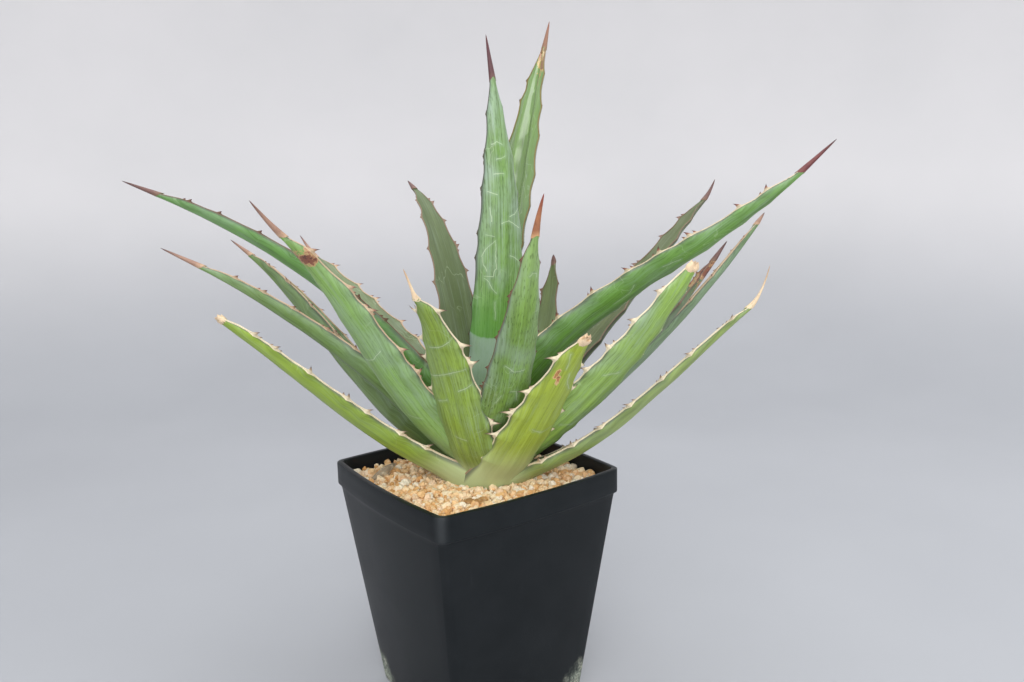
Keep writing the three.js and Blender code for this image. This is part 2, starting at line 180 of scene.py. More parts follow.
# One row a leaf, oldest first, as in the source: heading and swing, rise at base, middle and tip, roll, fold,
# blade, spine and its hook, width, lost tip, size of the teeth, green, horn.
LEAF_WORDS = ("heading", "swing", "low", "middle", "high", "roll", "fold", "blade", "spine", "hook", "width",
              "lost", "teeth", "green", "horn")
LEAVES = [
    [261, 8, 35, 47, 48, -5, 1, 116, 0, 0, 26.5, 6, 1, "old", "cream"],
    [158, -1, 22, 40, 38, 20, 1.5, 146, 0, 0, 24, 12, 1, "old", "cream"],
    [309, 3, 11, 40, 40, -9, 1, 152, 20, 9, 23, 0, 1, "old", "cream"],
    [57, 0, 12, 28, 30, 0, 2, 150, 18, 0, 24, 0, 0.8, "blue", "tan"],
    [334, -2, 29, 41, 52, -18, 1.5, 184, 6, 0, 23, 0, 0.5, "blue", "tan"],
    [153, 4, 48, 41, 28, 16, 3, 165, 18, 0, 23, 0, 0.7, "blue", "tan"],
    [292, 4, 32, 45, 58, -25, 1, 145, 0, 0, 24, 12, 0.7, "fresh", "cream"],
    [223, -3, 24, 55, 27, -10, 1, 135, 12, 7, 24, 0, 0.9, "old", "cream"],
    [122, 4, 14, 46, 33, 24, 8, 168, 14, 0, 27, 0, 0.8, "blue", "tan"],
    [323, 0, 28, 42, 54, 0, 2, 148, 10, 0, 22, 0, 0.6, "blue", "brown"],
    [66, 0, 24, 32, 28, 0, 2, 118, 14, 0, 22, 0, 0.8, "blue", "tan"],
    [192, 0, 26, 54, 40, 8, 1.5, 157, 18, 2, 25, 0, 0.9, "fresh", "tan"],
    [146, 4, 62, 41, 22, 16, 3.5, 200, 16, 0, 24, 0, 0.7, "fresh", "brown"],
    [103, 0, 43, 34, 34, 0, 3, 160, 18, 2, 23, 0, 0.9, "blue", "brown"],
    [308, -3, 74, 34, 43, -24, 2, 198, 18, 0, 25, 0, 0.9, "fresh", "maroon"],
    [351, -1, 34, 43, 42, 0, 2, 180, 12, 3, 23, 0, 0.7, "blue", "brown"],
    [246, 1, 29, 46, 59, 12, 1, 152, 16, 0, 23, 0, 0.45, "blue", "orange"],
    [78, 9, 58, 65, 30, 0, 1, 150, 8, 0, 21, 0, 0.5, "blue", "brown"],
    [24, -8, 20, 49, 88, 0, 1, 114, 3, 0, 19, 0, 0.4, "blue", "brown"],
    [258, 4, 72, 82, 104.5, 0, 1, 171, 20, 0, 25, 0, 0.35, "fresh", "maroon"],
    [14, -6, 82, 75, 72, 0, 3, 195, 14, 0, 27, 0, 0.35, "fresh", "maroon"],
    [330, 0, 80, 84, 86, 0, 1, 104, 12, 0, 12, 0, 0.35, "fresh", "maroon"],
]

# Leaf colours, linear
BLOOM = (0.28, 0.37, 0.29)
# Painted shade, laid over every leaf's inner face.
PAINTED_INNER_SHADE = (0.09, 0.11, 0.055)
PALE_FOOT = (0.52, 0.61, 0.34)
IMPRINT = (0.5, 0.6, 0.4)
# Painted shade along both edges of a leaf.
PAINTED_EDGE_SHADE = (0.09, 0.1, 0.085)
GLAUCOUS = (0.31, 0.42, 0.34)
SHELTERED = (0.085, 0.27, 0.03)
RIPE = (0.32, 0.46, 0.2)
TAN_RIM = (0.46, 0.28, 0.14)
RED_BROWN = (0.2, 0.075, 0.045)
STRAW_RIM = (0.62, 0.42, 0.2)
RUST = (0.42, 0.19, 0.07)
CRACK = (0.04, 0.02, 0.025)

# Each leaf's green, how much blue-grey bloom lies on it and how strong its dark dashes are.
SKINS = {
    "01": ((0.31, 0.4, 0.03), 0.12, 0.4), "02": ((0.235, 0.345, 0.028), 0.1, 0.35),
    "03": ((0.25, 0.34, 0.07), 0.25, 0.35), "04": ((0.15, 0.23, 0.07), 0.3, 0.4),
    "05": ((0.16, 0.26, 0.1), 0.5, 0.5), "06": ((0.15, 0.25, 0.06), 0.35, 0.4),
    "07": ((0.24, 0.39, 0.065), 0.45, 0.5), "08": ((0.22, 0.33, 0.035), 0.25, 0.6),
    "09": ((0.15, 0.24, 0.06), 0.3, 0.4), "10": ((0.13, 0.18, 0.07), 0.3, 0.4),
    "11": ((0.15, 0.23, 0.07), 0.3, 0.4), "12": ((0.2, 0.35, 0.08), 0.5, 0.5),
    "13": ((0.12, 0.28, 0.05), 0.35, 0.4), "14": ((0.14, 0.185, 0.06), 0.3, 0.4),
    "15": ((0.125, 0.28, 0.035), 0.42, 0.5), "16": ((0.1, 0.125, 0.035), 0.12, 0.4),
    "17": ((0.165, 0.3, 0.04), 0.5, 0.6), "18": ((0.066, 0.104, 0.022), 0.1, 0.4),
    "19": ((0.16, 0.21, 0.07), 0.2, 0.35), "20": ((0.145, 0.27, 0.06), 0.7, 0.8),
    "21": ((0.17, 0.34, 0.05), 0.25, 0.4), "22": ((0.18, 0.34, 0.08), 0.3, 0.5),
}

# How far up a leaf's foot is pale, in mm, and the leaves that are pale further up.
PALE_REACH = 34
PALE_TO = {"01": 66, "02": 56}

# The sheen of most leaves, and the wetter one of the fluted leaf.
GLOSS = 0.3
WET_GLOSS = 0.06
WET_COAT = {"Coat Weight": 1.0, "Coat Roughness": 0.17, "Coat IOR": 1.8}

# Pale lines that neighbouring leaves have pressed into a leaf's outer face. Each runs through places that are
# given across and along the leaf by turns, in mm.
IMPRINTS = {
    "20": [(-4, 141.4, -1.8, 142.3, 0.8, 141.2), (-2.6, 135, -0.5, 135.2, 1.8, 136.4),
           (-4, 128.4, -1.2, 128.8, 0.6, 128.5), (-1, 107.2, 2.6, 108.2, 8.4, 105),
           (3, 110, 6, 111, 8.6, 113.6), (-6.3, 114, -5.6, 108), (-8, 102.4, -4.6, 101.6),
           (-4.2, 99.8, -8.4, 96, -9.8, 92.5, -9.2, 89, -7.6, 86), (-4.1, 99.4, -3.7, 87),
           (-8.6, 83.6, -5.2, 83.8, -4.1, 87), (-8.7, 82.6, -7.2, 82, -5.4, 78.5, -3.2, 76.2),
           (-3.9, 72, -3, 64), (3.2, 92.8, 5.5, 92, 8.2, 90, 8.6, 88), (-7, 121, -3, 119.6)],
    "17": [(-0.8, 134.6, 0.2, 136, 2, 135.4, 2.3, 133.4), (-0.6, 70.4, 2.2, 69, 4, 60),
           (-5, 88, -1, 84, 4, 83), (-6, 62, -4.6, 68), (1, 50, 5, 48, 8, 50)],
    "08": [(-9.4, 79.6, -3, 83, 4, 86.4, 9, 87.2), (-4, 100, 2.4, 102.4, 5.4, 104.4), (-7.6, 65, -2.6, 68),
           (4, 74.6, 9.4, 77), (-3, 44, 2, 42.4)],
    "01": [(-3.4, 108.6, -1.8, 100), (1, 97, 3, 90, 6.4, 85.6), (-2, 60, 4, 57, 9, 59)],
    "15": [(-3, 100, -2.6, 108, -6, 113), (1, 60, 3, 70, 7, 76), (-5, 128, -3, 136)],
    "12": [(-7, 86, 0, 88, 6, 92), (-4, 52, 3, 50)],
    "07": [(-6, 84, 0, 88), (-3, 50, 4, 52, 8, 60)],
}

# Dry patches: the place across and along the leaf, the size both ways in mm, how dark the cracks are, and the
# colours of the rim and the middle.
PATCHES = {
    "12": [(1.4, 144, 5.4, 4.4, 0.8, TAN_RIM, RED_BROWN)],
    "01": [(-4.6, 96.4, 1.1, 3.2, 0.8, STRAW_RIM, RUST),
           (-3.1, 93.4, 1.1, 3.2, 0.8, STRAW_RIM, RUST)],
    "13": [(-3, 176, 1.6, 7, 0.4, TAN_RIM, RED_BROWN)],
    "10": [(0, 141, 6, 12, 0.9, TAN_RIM, RED_BROWN)],
    "21": [(-2.4, 190, 1.6, 12, 0.6, (0.4, 0.26, 0.08), (0.2, 0.1, 0.03)),
           (0.4, 193, 1.2, 10, 0.2, (0.5, 0.36, 0.1), (0.34, 0.15, 0.04))],
}

# Each kind of horn: how far its line stands out, half its height, the share of its teats and hooks, and the
# colours of its line, teeth, teeth's points, spine, spine's foot and spine's tip.
HORN_WORDS = ("out", "tall", "teat", "hook", "line", "tooth", "point", "spine", "foot", "tip")
HORN_ROWS = {
    "cream": (0.34, 0.42, 1, 1, (0.76, 0.66, 0.46), (0.42, 0.3, 0.2), (0.1, 0.065, 0.05),
              (0.76, 0.58, 0.38), (0.78, 0.64, 0.42), (0.4, 0.25, 0.15)),
    "tan": (0.26, 0.32, 0.6, 1, (0.54, 0.4, 0.26), (0.34, 0.17, 0.11), (0.07, 0.04, 0.04),
            (0.32, 0.19, 0.135), (0.5, 0.33, 0.21), (0.08, 0.04, 0.04)),
    "brown": (0.18, 0.22, 0.45, 1, (0.2, 0.14, 0.09), (0.22, 0.1, 0.07), (0.06, 0.03, 0.03),
              (0.15, 0.08, 0.07), (0.2, 0.12, 0.08), (0.06, 0.03, 0.03)),
    "maroon": (0.2, 0.22, 0.35, 1.15, (0.66, 0.56, 0.38), (0.3, 0.12, 0.08), (0.08, 0.03, 0.03),
               (0.14, 0.04, 0.045), (0.2, 0.07, 0.06), (0.05, 0.015, 0.02)),
    "orange": (0.12, 0.16, 0.35, 0.7, (0.16, 0.1, 0.06), (0.16, 0.06, 0.04), (0.06, 0.025, 0.02),
               (0.36, 0.15, 0.07), (0.6, 0.34, 0.17), (0.2, 0.03, 0.025)),
    "young": (0.08, 0.11, 0.15, 0.3, (0.07, 0.075, 0.045), (0.1, 0.06, 0.04), (0.05, 0.03, 0.02),
              (0.09, 0.035, 0.04), (0.13, 0.06, 0.055), (0.08, 0.012, 0.02)),
    "ochre": (0.14, 0.18, 0.25, 0.5, (0.22, 0.17, 0.05), (0.07, 0.035, 0.02), (0.03, 0.015, 0.01),
              (0.26, 0.14, 0.09), (0.24, 0.16, 0.08), (0.3, 0.12, 0.08)),
}
HORNS = {kind: dict(zip(HORN_WORDS, row)) for kind, row in HORN_ROWS.items()}
OTHER_HORN = {"20": "young", "22": "young", "21": "ochre", "14": "tan"}
OLD_HORN = (0.24, 0.13, 0.065)

# Grit: the colours of the grains by their tone, of those with a tone past 1, and of their specks and stains.
GRAIN_TONES = [(0.0, (0.3, 0.15, 0.05)), (0.1, (0.62, 0.33, 0.12)), (0.28, (0.78, 0.48, 0.22)),
               (0.46, (0.88, 0.66, 0.4)), (0.64, (0.9, 0.76, 0.54)), (0.78, (0.78, 0.42, 0.17)),
               (0.9, (0.92, 0.84, 0.68))]
WHITE_GRAIN = (0.78, 0.72, 0.6)
GREY_GRAIN = (0.3, 0.25, 0.18)
SPECK = (0.5, 0.27, 0.1)
CREAM_STAIN = (0.9, 0.76, 0.54)

# Pot, stem and sweep
PLASTIC = [(0.3, (0.007, 0.009, 0.0105)), (0.75, (0.012, 0.0145, 0.0165))]
SCUFF = (0.05, 0.054, 0.058)
# A painted highlight on the corners of the pot's band.
PAINTED_CORNER_HIGHLIGHT = (0.06, 0.066, 0.07)
CHALK = [(0.35, (0.12, 0.15, 0.12)), (0.5, (0.34, 0.38, 0.31)), (0.7, (0.6, 0.6, 0.48))]
STOCK = [(0.3, (0.2, 0.15, 0.06)), (0.7, (0.5, 0.44, 0.24))]
SWEEP_FLOOR = [(0.3, (0.35, 0.36, 0.38)), (0.7, (0.38, 0.39, 0.41))]
SWEEP_WALL = [(0.3, (0.58, 0.575, 0.58)), (0.7, (0.62, 0.61, 0.615))]

# Studio, in metres: the sweep, the lamps with their place, size and power, and the camera.
SWEEP_RADIUS = 0.6
SWEEP_CURVE = 0.9
SWEEP_HEIGHT = 0.7
SWEEP_STEPS = 16
SKY = (0.93, 0.95, 1, 1)
SKY_POWER = 0.9
LAMPS = {
    "key": ((-0.8, -1.0, 1.2), 1.3, 13),
    "front": ((-0.52, -0.74, 0.42), 0.5, 4.5),
    "fill": ((0.8, -0.6, 0.9), 1.2, 5),
    "top": ((0.1, 0.2, 1.5), 1.3, 10),
}
LAMPS_AIM_AT = Vector((0, 0, 0.17))
LENS = 28.83
EYE = (-0.2179, -0.3342, 0.2507)
EYE_RIGHT = Vector((0.8057, -0.5919, -0.0228))
EYE_UP = Vector((0.1178, 0.1224, 0.9854))
EYE_AHEAD = Vector((0.5805, 0.7967, -0.1683))


def smooth(value, low, high):
    """0 below low, 1 above high, and an S curve between."""
    share = np.clip((value - low) / (high - low), 0, 1)
    return share * share * (3 - 2 * share)


def blend(a, b, share):
    return a + (b - a) * share


def chance(i, j):
    """A repeatable number from 0 to 1 for each pair of whole numbers, as in the source."""
    s = math.sin(i * 127.1 + j * 311.7) * 43758.5453
    return s - math.floor(s)


def read_leaf(age, row):
    leaf = dict(zip(LEAF_WORDS, row), age=age, name=f"{age + 1:02d}")
    for angle in ("heading", "swing", "low", "middle", "high", "roll"):
        leaf[angle] = math.radians(leaf[angle])
    leaf["whole"] = leaf["blade"] + leaf["lost"]
    return leaf


def directions(leaf, x):
    """Along, across and up of a leaf at shares x of its blade."""
    low, middle, high = leaf["low"], leaf["middle"], leaf["high"]
    rise = low * (1 - x) * (1 - 2 * x) + middle * 4 * x * (1 - x) + high * x * (2 * x - 1)
    heading = leaf["heading"] + leaf["swing"] * x
    along = np.stack([np.cos(rise) * np.cos(heading), np.cos(rise) * np.sin(heading), np.sin(rise)], -1)
    level = np.stack([-np.sin(heading), np.cos(heading), 0 * heading], -1)
    raised = np.cross(along, level)
    across = level * math.cos(leaf["roll"]) + raised * math.sin(leaf["roll"])
    return along, across, np.cross(along, across)


def leaf_frame(leaf, x):
    """Places and directions of a leaf's line at shares x of its blade."""
    steps = np.arange(LINE_STEPS + 1) / LINE_STEPS
    if "line" not in leaf:
        along, _, _ = directions(leaf, steps)
        out = FIRST_LEAF_OUT - LEAF_STEP_IN * leaf["age"]
        start = np.array([
            CROWN_X + out * math.cos(leaf["heading"]),
            CROWN_Y + out * math.sin(leaf["heading"]),
            GRIT_LEVEL + FIRST_LEAF_HEIGHT + LEAF_STEP_UP * leaf["age"],
        ])
        moves = np.cumsum(along[:-1] * (leaf["blade"] / LINE_STEPS), axis=0)
        leaf["line"] = np.vstack([start, start + moves])
    x = np.asarray(x, float)
    place = np.stack([np.interp(x, steps, leaf["line"][:, k]) for k in range(3)], -1)
    return (place, *directions(leaf, np.clip(x, 0, 1)))


def from_frame(frames, s, h, ahead):
    """Points at distances across, up and along from a leaf's frame, or from one frame each."""
    place, along, across, up = frames
    return place + across * s[:, None] + up * h[:, None] + along * ahead[:, None]


def half_width(leaf, x):
    share = x * leaf["blade"] / leaf["whole"]
    near = blend(BASE_SHARE, 1, smooth(share, 0, WIDEST_AT))
    far = 1 - (1 - TIP_SHARE) * ((share - WIDEST_AT) / (1 - WIDEST_AT)) ** 2
    half = 0.5 * leaf["width"] * np.where(share < WIDEST_AT, near, far)
    if leaf["name"] == FLUTED_LEAF:
        half = half * blend(0.76, 1.14, smooth(x, 0.4, 0.72))
    return np.maximum(half, TIP_HALF)


def belly(leaf, x):
    share = x * leaf["blade"] / leaf["whole"]
    heel = HEEL * (1 - smooth(share, 0, HEEL_ENDS_AT))
    return heel + blend(BELLY_AT_BASE, BELLY_AT_TIP, share ** BELLY_THINS_BY)


def channel(leaf, x):
    return CHANNEL * np.minimum(1, 2 * half_width(leaf, x) / leaf["width"]) * (1 - 0.5 * x)


def tooth_places(leaf, side):
    count = round(leaf["blade"] * (1 - MARGIN_FROM) / TOOTH_STEP)
    places = []
    for i in range(count):
        stray = TOOTH_STRAYS * (chance(leaf["age"] + 1, 7 * i + side) - 0.5)
        places.append(MARGIN_FROM + (i + 0.5 + stray) / (count + 0.3) * (1 - MARGIN_FROM))
    return places


def wave(leaf, x, side):
    """How far the blade's edge waves out: most at a tooth, nothing between two."""
    gaps = np.min([np.abs(x - t) for t in tooth_places(leaf, side)], axis=0) * leaf["blade"]
    calm = CALM_EDGES.get(leaf["name"], (1, 1))[side > 0]
    return WAVE * blend(0.5, 1, leaf["teeth"]) * calm * np.clip(1 - 2 * gaps / TOOTH_STEP, 0, 1) ** 1.6


def fold_rise(leaf, x):
    """How far a folded blade's edges stand above its line, and its middle below it."""
    return leaf["fold"] * np.minimum(0.5, half_width(leaf, x) / leaf["width"])


def folded(t):
    """The fold's share at a share of the half width: -1 in the middle, 1 at the edge."""
    return 2 * np.abs(t) ** 1.5 - 1


def end_drop(leaf, x):
    """How far the edges sink at the blade's very end, where its section rounds into the spine's foot."""
    return -END_DROP * belly(leaf, x) * smooth(x, END_DROPS_FROM, 1.0)


def deselect():
    if bpy.context.object and bpy.context.object.mode != "OBJECT":
        bpy.ops.object.mode_set(mode="OBJECT")
    bpy.ops.object.select_all(action="DESELECT")


def choose(*pieces):
    """Selects these pieces alone, with the first one active."""
    deselect()
    for piece in pieces:
        piece.select_set(True)
    bpy.context.view_layer.objects.active = pieces[0]


def open_mesh():
    """Edit mode, with all of the mesh selected."""
    bpy.ops.object.mode_set(mode="EDIT")
    bpy.ops.mesh.select_all(action="SELECT")


def close_mesh(inside=False):
    """Turns the selected faces outwards, or inwards, and leaves edit mode."""
    bpy.ops.mesh.normals_make_consistent(inside=inside)
    bpy.ops.object.mode_set(mode="OBJECT")


def join(name, pieces):
    choose(*pieces)
    bpy.ops.object.join()
    pieces[0].name = name
    pieces[0].data.name = name
    return pieces[0]


def shade(piece, degrees):
    choose(piece)
    bpy.ops.object.shade_smooth_by_angle(angle=math.radians(degrees))


def dress(piece, material, slot, *nodes):
    """Gives a finished piece its finish, hangs it under the root and hides the CAD nodes that it stands for.
    """
    piece.data.materials.clear()
    piece.data.materials.append(material)
    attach(piece, "root")
    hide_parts(*nodes)


def with_poles(rings, first, last):
    """Closes rings with a pole at each end."""
    columns = rings.shape[1]
    return np.concatenate([[[first] * columns], rings, [[last] * columns]])


def closed(rings):
    """Closes rings with a pole in the middle of the first and the last one."""
    return with_poles(rings, rings[0].mean(0), rings[-1].mean(0))


def skin(name, rings, **facts):
    """Wraps a grid over closed rings, with its seam and both poles merged. Facts are kept on its points."""
    rows, columns = rings.shape[:2]
    deselect()
    bpy.ops.mesh.primitive_grid_add(x_subdivisions=columns - 1, y_subdivisions=rows - 1, size=2)
    piece = bpy.context.object
    piece.name = name
    flat = np.zeros(len(piece.data.vertices) * 3, np.float32)
    piece.data.vertices.foreach_get("co", flat)
    i = np.rint((flat[0::3] + 1) / 2 * (columns - 1)).astype(int)
    j = np.rint((flat[1::3] + 1) / 2 * (rows - 1)).astype(int)
    piece.data.vertices.foreach_set("co", (rings[j, i] * MM).astype(np.float32).ravel())
    for fact, values in facts.items():
        layer = piece.data.attributes.new(fact, "FLOAT_VECTOR", "POINT")
        layer.data.foreach_set("vector", values[j, i].astype(np.float32).ravel())
    open_mesh()
    bpy.ops.mesh.remove_doubles(threshold=2e-6)
    close_mesh()
    return piece


def unevenness(leaf, s, lengths, t):
    """How uneven the belly is at each point: noise that fades out towards the edges."""
    uneven = np.zeros(s.shape)
    for j in range(s.shape[0]):
        for i in range(INNER_STEPS + 1, s.shape[1] - 1):
            spot = Vector((0.07 * s[j, i], 0.045 * lengths[j, i], leaf["age"] * 3.7))
            uneven[j, i] = noise.noise(spot) * math.sqrt(1 - t[i] ** 2)
    return uneven


def leaf_piece(leaf):
    """A blade: a channelled inner face between its edges and a rounded, slightly uneven belly."""
    x = np.linspace(0, 1, STATIONS)
    place, _, across, up = leaf_frame(leaf, x)
    half, depth, hollow, rise = half_width(leaf, x), belly(leaf, x), channel(leaf, x), fold_rise(leaf, x)
    relief = np.minimum(1, half / FULL_RELIEF_AT)
    left, right = half + wave(leaf, x, -1), half + wave(leaf, x, 1)
    inner = -np.cos(np.linspace(0, math.pi, INNER_STEPS + 1))
    turn = np.linspace(0, math.pi, BELLY_STEPS + 1)[1:]
    t = np.concatenate([inner, np.cos(turn)])
    s = np.where(t < 0, t * left[:, None], t * right[:, None])
    lobes = (FLUTE if leaf["name"] == FLUTED_LEAF else LOBE) * relief
    top = -hollow[:, None] * (1 - inner ** 2) + lobes[:, None] * np.sin(math.pi * np.abs(inner)) ** 2
    under = -depth[:, None] * np.sin(turn) ** BELLY_ROUND
    h = np.concatenate([top, under], axis=1) + rise[:, None] * folded(t)
    h = h + end_drop(leaf, x)[:, None] * np.abs(t) ** 3
    lengths = np.broadcast_to((x * leaf["blade"])[:, None], s.shape)
    h = h - BELLY_UNEVEN * unevenness(leaf, s, lengths, t) * relief[:, None]
    rings = place[:, None] + across[:, None] * s[..., None] + up[:, None] * h[..., None]
    inside = np.concatenate([np.ones(INNER_STEPS + 1), np.zeros(BELLY_STEPS)])
    inside[0] = inside[INNER_STEPS] = 0
    lay = np.stack([s, lengths, np.broadcast_to(INNER_MARK * inside, s.shape)], -1)
    form = np.stack([np.broadcast_to(np.abs(t), s.shape), np.broadcast_to(x[:, None], s.shape), 0 * s], -1)
    piece = skin("blade_" + leaf["name"], closed(rings), lay=closed(lay), form=closed(form))
    shade(piece, 50)
    return piece


def horn_of(leaf):
    return OTHER_HORN.get(leaf["name"], leaf["horn"])


def hooks_of(leaf, side, kind, places):
    """One edge's teeth and the small hooks beside them: place in mm, size, reach and lean."""
    age, teeth = leaf["age"], leaf["teeth"]
    hooks = []
    for i, at in enumerate(places):
        drawn = TOOTH + TOOTH_VARIES * chance(3 * age + 5, 11 * i + side)
        size = TOOTH_SHOWN * kind["hook"] * teeth * (drawn * (1 - TOOTH_SHRINKS * at / leaf["blade"]))
        lean = TOOTH_LEAN * teeth * (-1 if chance(age, 13 * i - side) < HOOKED_BACK else 1)
        hooks.append((at, size, HOOK_REACH, lean))
        for way, (first, second, third), likely, furthest, smaller, reach, leaning in SIDE_HOOKS:
            if chance(age + first, second * i + side) < likely * teeth:
                off = blend(SIDE_HOOK_NEAREST, furthest, chance(age, third * i))
                hooks.append((at + way * off, smaller * size, reach, lean * leaning))
    return hooks


def border_profile(leaf, side, kind):
    """Stations of one edge in mm, how far its teats and its hooked teeth stand out there, and their lean."""
    blade = leaf["blade"]
    places = [x * blade for x in tooth_places(leaf, side)]
    hooks = hooks_of(leaf, side, kind, places)
    stations = list(np.arange(BORDER_FROM * blade, blade, BORDER_STEP)) + [blade]
    for at, size, reach, lean in hooks:
        for off in HOOK_STATIONS:
            stations += [at - off, at + off]
    stations = np.unique(np.round([v for v in stations if v <= blade], 2))
    foot = np.max([np.clip(1 - np.abs(stations - at) / TEAT_REACH, 0, 1) for at in places], axis=0)
    teat = kind["out"] + TEAT * kind["teat"] * leaf["teeth"] * foot ** 2.4
    hook, leans, share = (np.zeros(stations.shape) for _ in range(3))
    for at, size, reach, lean in hooks:
        rise = np.clip(1 - np.abs(stations - at) / reach, 0, 1) ** 1.5
        taller = size * rise > hook
        leans = np.where(taller, lean * rise ** 1.5, leans)
        share = np.where(taller, rise, share)
        hook = np.where(taller, size * rise, hook)
    return stations, teat, hook, leans, share, foot


def border_piece(leaf, side):
    """One edge's horn: a thin line that grips the blade's edge, with teats drawn out into hooked teeth."""
    kind = HORNS[horn_of(leaf)]
    lengths, teat, hook, leans, share, foot = border_profile(leaf, side, kind)
    x = lengths / leaf["blade"]
    frames = leaf_frame(leaf, x)
    half, rise, drop = half_width(leaf, x), fold_rise(leaf, x), end_drop(leaf, x)
    edge = half + wave(leaf, x, side)
    narrow = np.minimum(1, half / BORDER_SLIM_UNDER)
    teat = teat * narrow
    swell = foot ** 2 * leaf["teeth"] * kind["teat"]
    tall = kind["tall"] * (1 + 0.8 * swell) * narrow
    grip = (0.06 * kind["tall"] + 0.32 * swell) * narrow

    def under(inwards, lift):
        """A point of the section on the belly, a little proud of it."""
        t = np.clip(1 - inwards / edge, 0, 1)
        sunk = rise * (folded(t) - 1) + drop * (t ** 3 - 1)
        return -inwards, -belly(leaf, x) * (1 - t ** 2) ** (BELLY_ROUND / 2) + sunk + lift

    flat = 0 * x
    hooked = hook + TOOTH_ROOT * (hook > 0)
    section = [(*under(grip, 0.35), 0), (*under(grip, -0.3 * tall), 0), (*under(0.4 * grip, -0.4 * tall), 0),
               (flat, -tall, 0), (0.45 * teat, -0.6 * tall, 0), (0.85 * teat, -0.2 * tall, 0.25),
               (teat, flat, 1), (0.85 * teat, 0.18 * tall, 0.25), (0.45 * teat, 0.48 * tall, 0),
               (flat, 0.72 * tall, 0), (flat - 0.5 * narrow, 0.4 * tall, 0),
               (flat - 0.5 * narrow, flat - 0.4, 0)]
    rings, horn = [], []
    for outwards, height, outer in section + section[:1]:
        beyond = hooked * outer
        s = side * (edge + outwards + beyond * math.cos(TOOTH_RISE))
        h = rise + drop + height + beyond * math.sin(TOOTH_RISE)
        rings.append(from_frame(frames, s, h, leans * outer))
        horn.append(np.stack([share * outer, 0 * x, lengths], -1))
    return skin("border", closed(np.stack(rings, 1)), horn=closed(np.stack(horn, 1)))


def spine_piece(leaf):
    """The end spine: a round, slightly bent needle whose foot closes the blade's end."""
    frames = leaf_frame(leaf, 1.0)
    half, depth = float(half_width(leaf, 1.0)), float(belly(leaf, 1.0))
    length = math.sqrt(leaf["spine"] ** 2 - leaf["hook"] ** 2)
    rise_to = leaf["hook"] - SPINE_DROP * depth
    turn = np.linspace(0, 2 * math.pi, SPINE_SIDES + 1)
    hollow = SHRUNKEN_SPINES.get(leaf["name"], SPINE_HOLLOW)
    rings, horn = [], []
    for j in range(SPINE_STATIONS):
        t = (j / (SPINE_STATIONS - 1)) ** 1.3
        thin = (1 - t) ** SPINE_TAPER * (1 - hollow * math.sin(math.pi * t ** 0.95))
        wide = (half + SPINE_WIDER) * thin + SPINE_POINT
        tall = (0.5 * depth + SPINE_TALLER) * thin + SPINE_POINT
        middle = blend(-SPINE_LOW * depth, rise_to, t ** 1.5)
        back = (1 - t) ** 8 * (1.5 + 1.3 * np.cos(turn) + 0.3 * np.cos(3 * turn))
        s = wide * np.sin(turn) + SPINE_BENDS.get(leaf["name"], 0) * t ** 2
        ahead = t * length - back
        rings.append(from_frame(frames, s, middle + tall * np.cos(turn), ahead))
        horn.append(np.stack([0 * turn, np.full(turn.shape, 0.02 + 0.98 * t), ahead], -1))
    return skin("spine", closed(np.stack(rings)), horn=closed(np.stack(horn)))


def stub_piece(leaf):
    """A broken leaf's end, dried to a ragged cap."""
    frames = leaf_frame(leaf, 1.0)
    half, depth = float(half_width(leaf, 1.0)), float(belly(leaf, 1.0))
    turn = np.linspace(0, 2 * math.pi, STUB_SIDES + 1)
    rings, horn = [], []
    for j, (ahead, size, grip) in enumerate(STUB_RINGS):
        spots = [(math.cos(a) * STUB_LUMPS, math.sin(a) * STUB_LUMPS, 0.9 * j + leaf["age"]) for a in turn]
        ragged = np.array([noise.noise(Vector(spot)) for spot in spots])
        ragged[-1] = ragged[0]
        s = (half * size + grip + STUB_RAGGED * ragged) * np.sin(turn)
        h = -0.5 * depth + (0.5 * depth * size + grip + STUB_RAGGED * ragged) * np.cos(turn)
        on = ahead + (2.0 if j else 2.4) * ragged
        rings.append(from_frame(frames, s, h, on))
        horn.append(np.stack([0 * turn, np.full(turn.shape, 0.2 + 0.1 * j), on], -1))
    return skin("stub", closed(np.stack(rings)), horn=closed(np.stack(horn)))


def margin_piece(leaf):
    """A leaf's horn as one piece: both borders, and the end spine or the cap of a broken tip."""
    end = spine_piece(leaf) if leaf["spine"] else stub_piece(leaf)
    piece = join("horn_" + leaf["name"], [border_piece(leaf, -1), border_piece(leaf, 1), end])
    shade(piece, 60)
    return piece


def square_ring(side, radius, bow, z):
    """The pot's outline at one height: rounded corners, and sides that draw in from their middle to them."""
    flat = side / 2 - radius
    quarter = []
    for i in range(POT_CORNER_STEPS + 1):
        a = i / POT_CORNER_STEPS * math.pi / 2
        quarter.append((flat + radius * math.cos(a), flat + radius * math.sin(a), math.cos(a), math.sin(a)))
    for i in range(1, POT_SIDE_STEPS):
        quarter.append((flat * (1 - 2 * i / POT_SIDE_STEPS), side / 2, 0, 1))
    ring = []
    for corner in range(4):
        c, s = round(math.cos(corner * math.pi / 2)), round(math.sin(corner * math.pi / 2))
        for x, y, nx, ny in quarter:
            swell = -bow * ((nx * 2 * y / side) ** 2 + (ny * 2 * x / side) ** 2)
            px, py = x + nx * swell, y + ny * swell
            ring.append((c * px - s * py, s * px + c * py, z))
    return ring + ring[:1]


def wall_side(z):
    """The outside width of the pot's wall at a height."""
    return blend(FOOT_SIDE, POT_SIDE - 2 * BAND_PROUD, min(z, BAND_FOOT) / BAND_FOOT)


def pot_ring(z, proud, radius=CORNER_RADIUS):
    side = wall_side(z) + 2 * proud
    return square_ring(side, radius, SIDE_BOW * side / POT_SIDE, z)


def inner_ring(z, proud=0.0, rounder=0.0):
    return pot_ring(z, -WALL + proud, INNER_RADIUS + rounder)


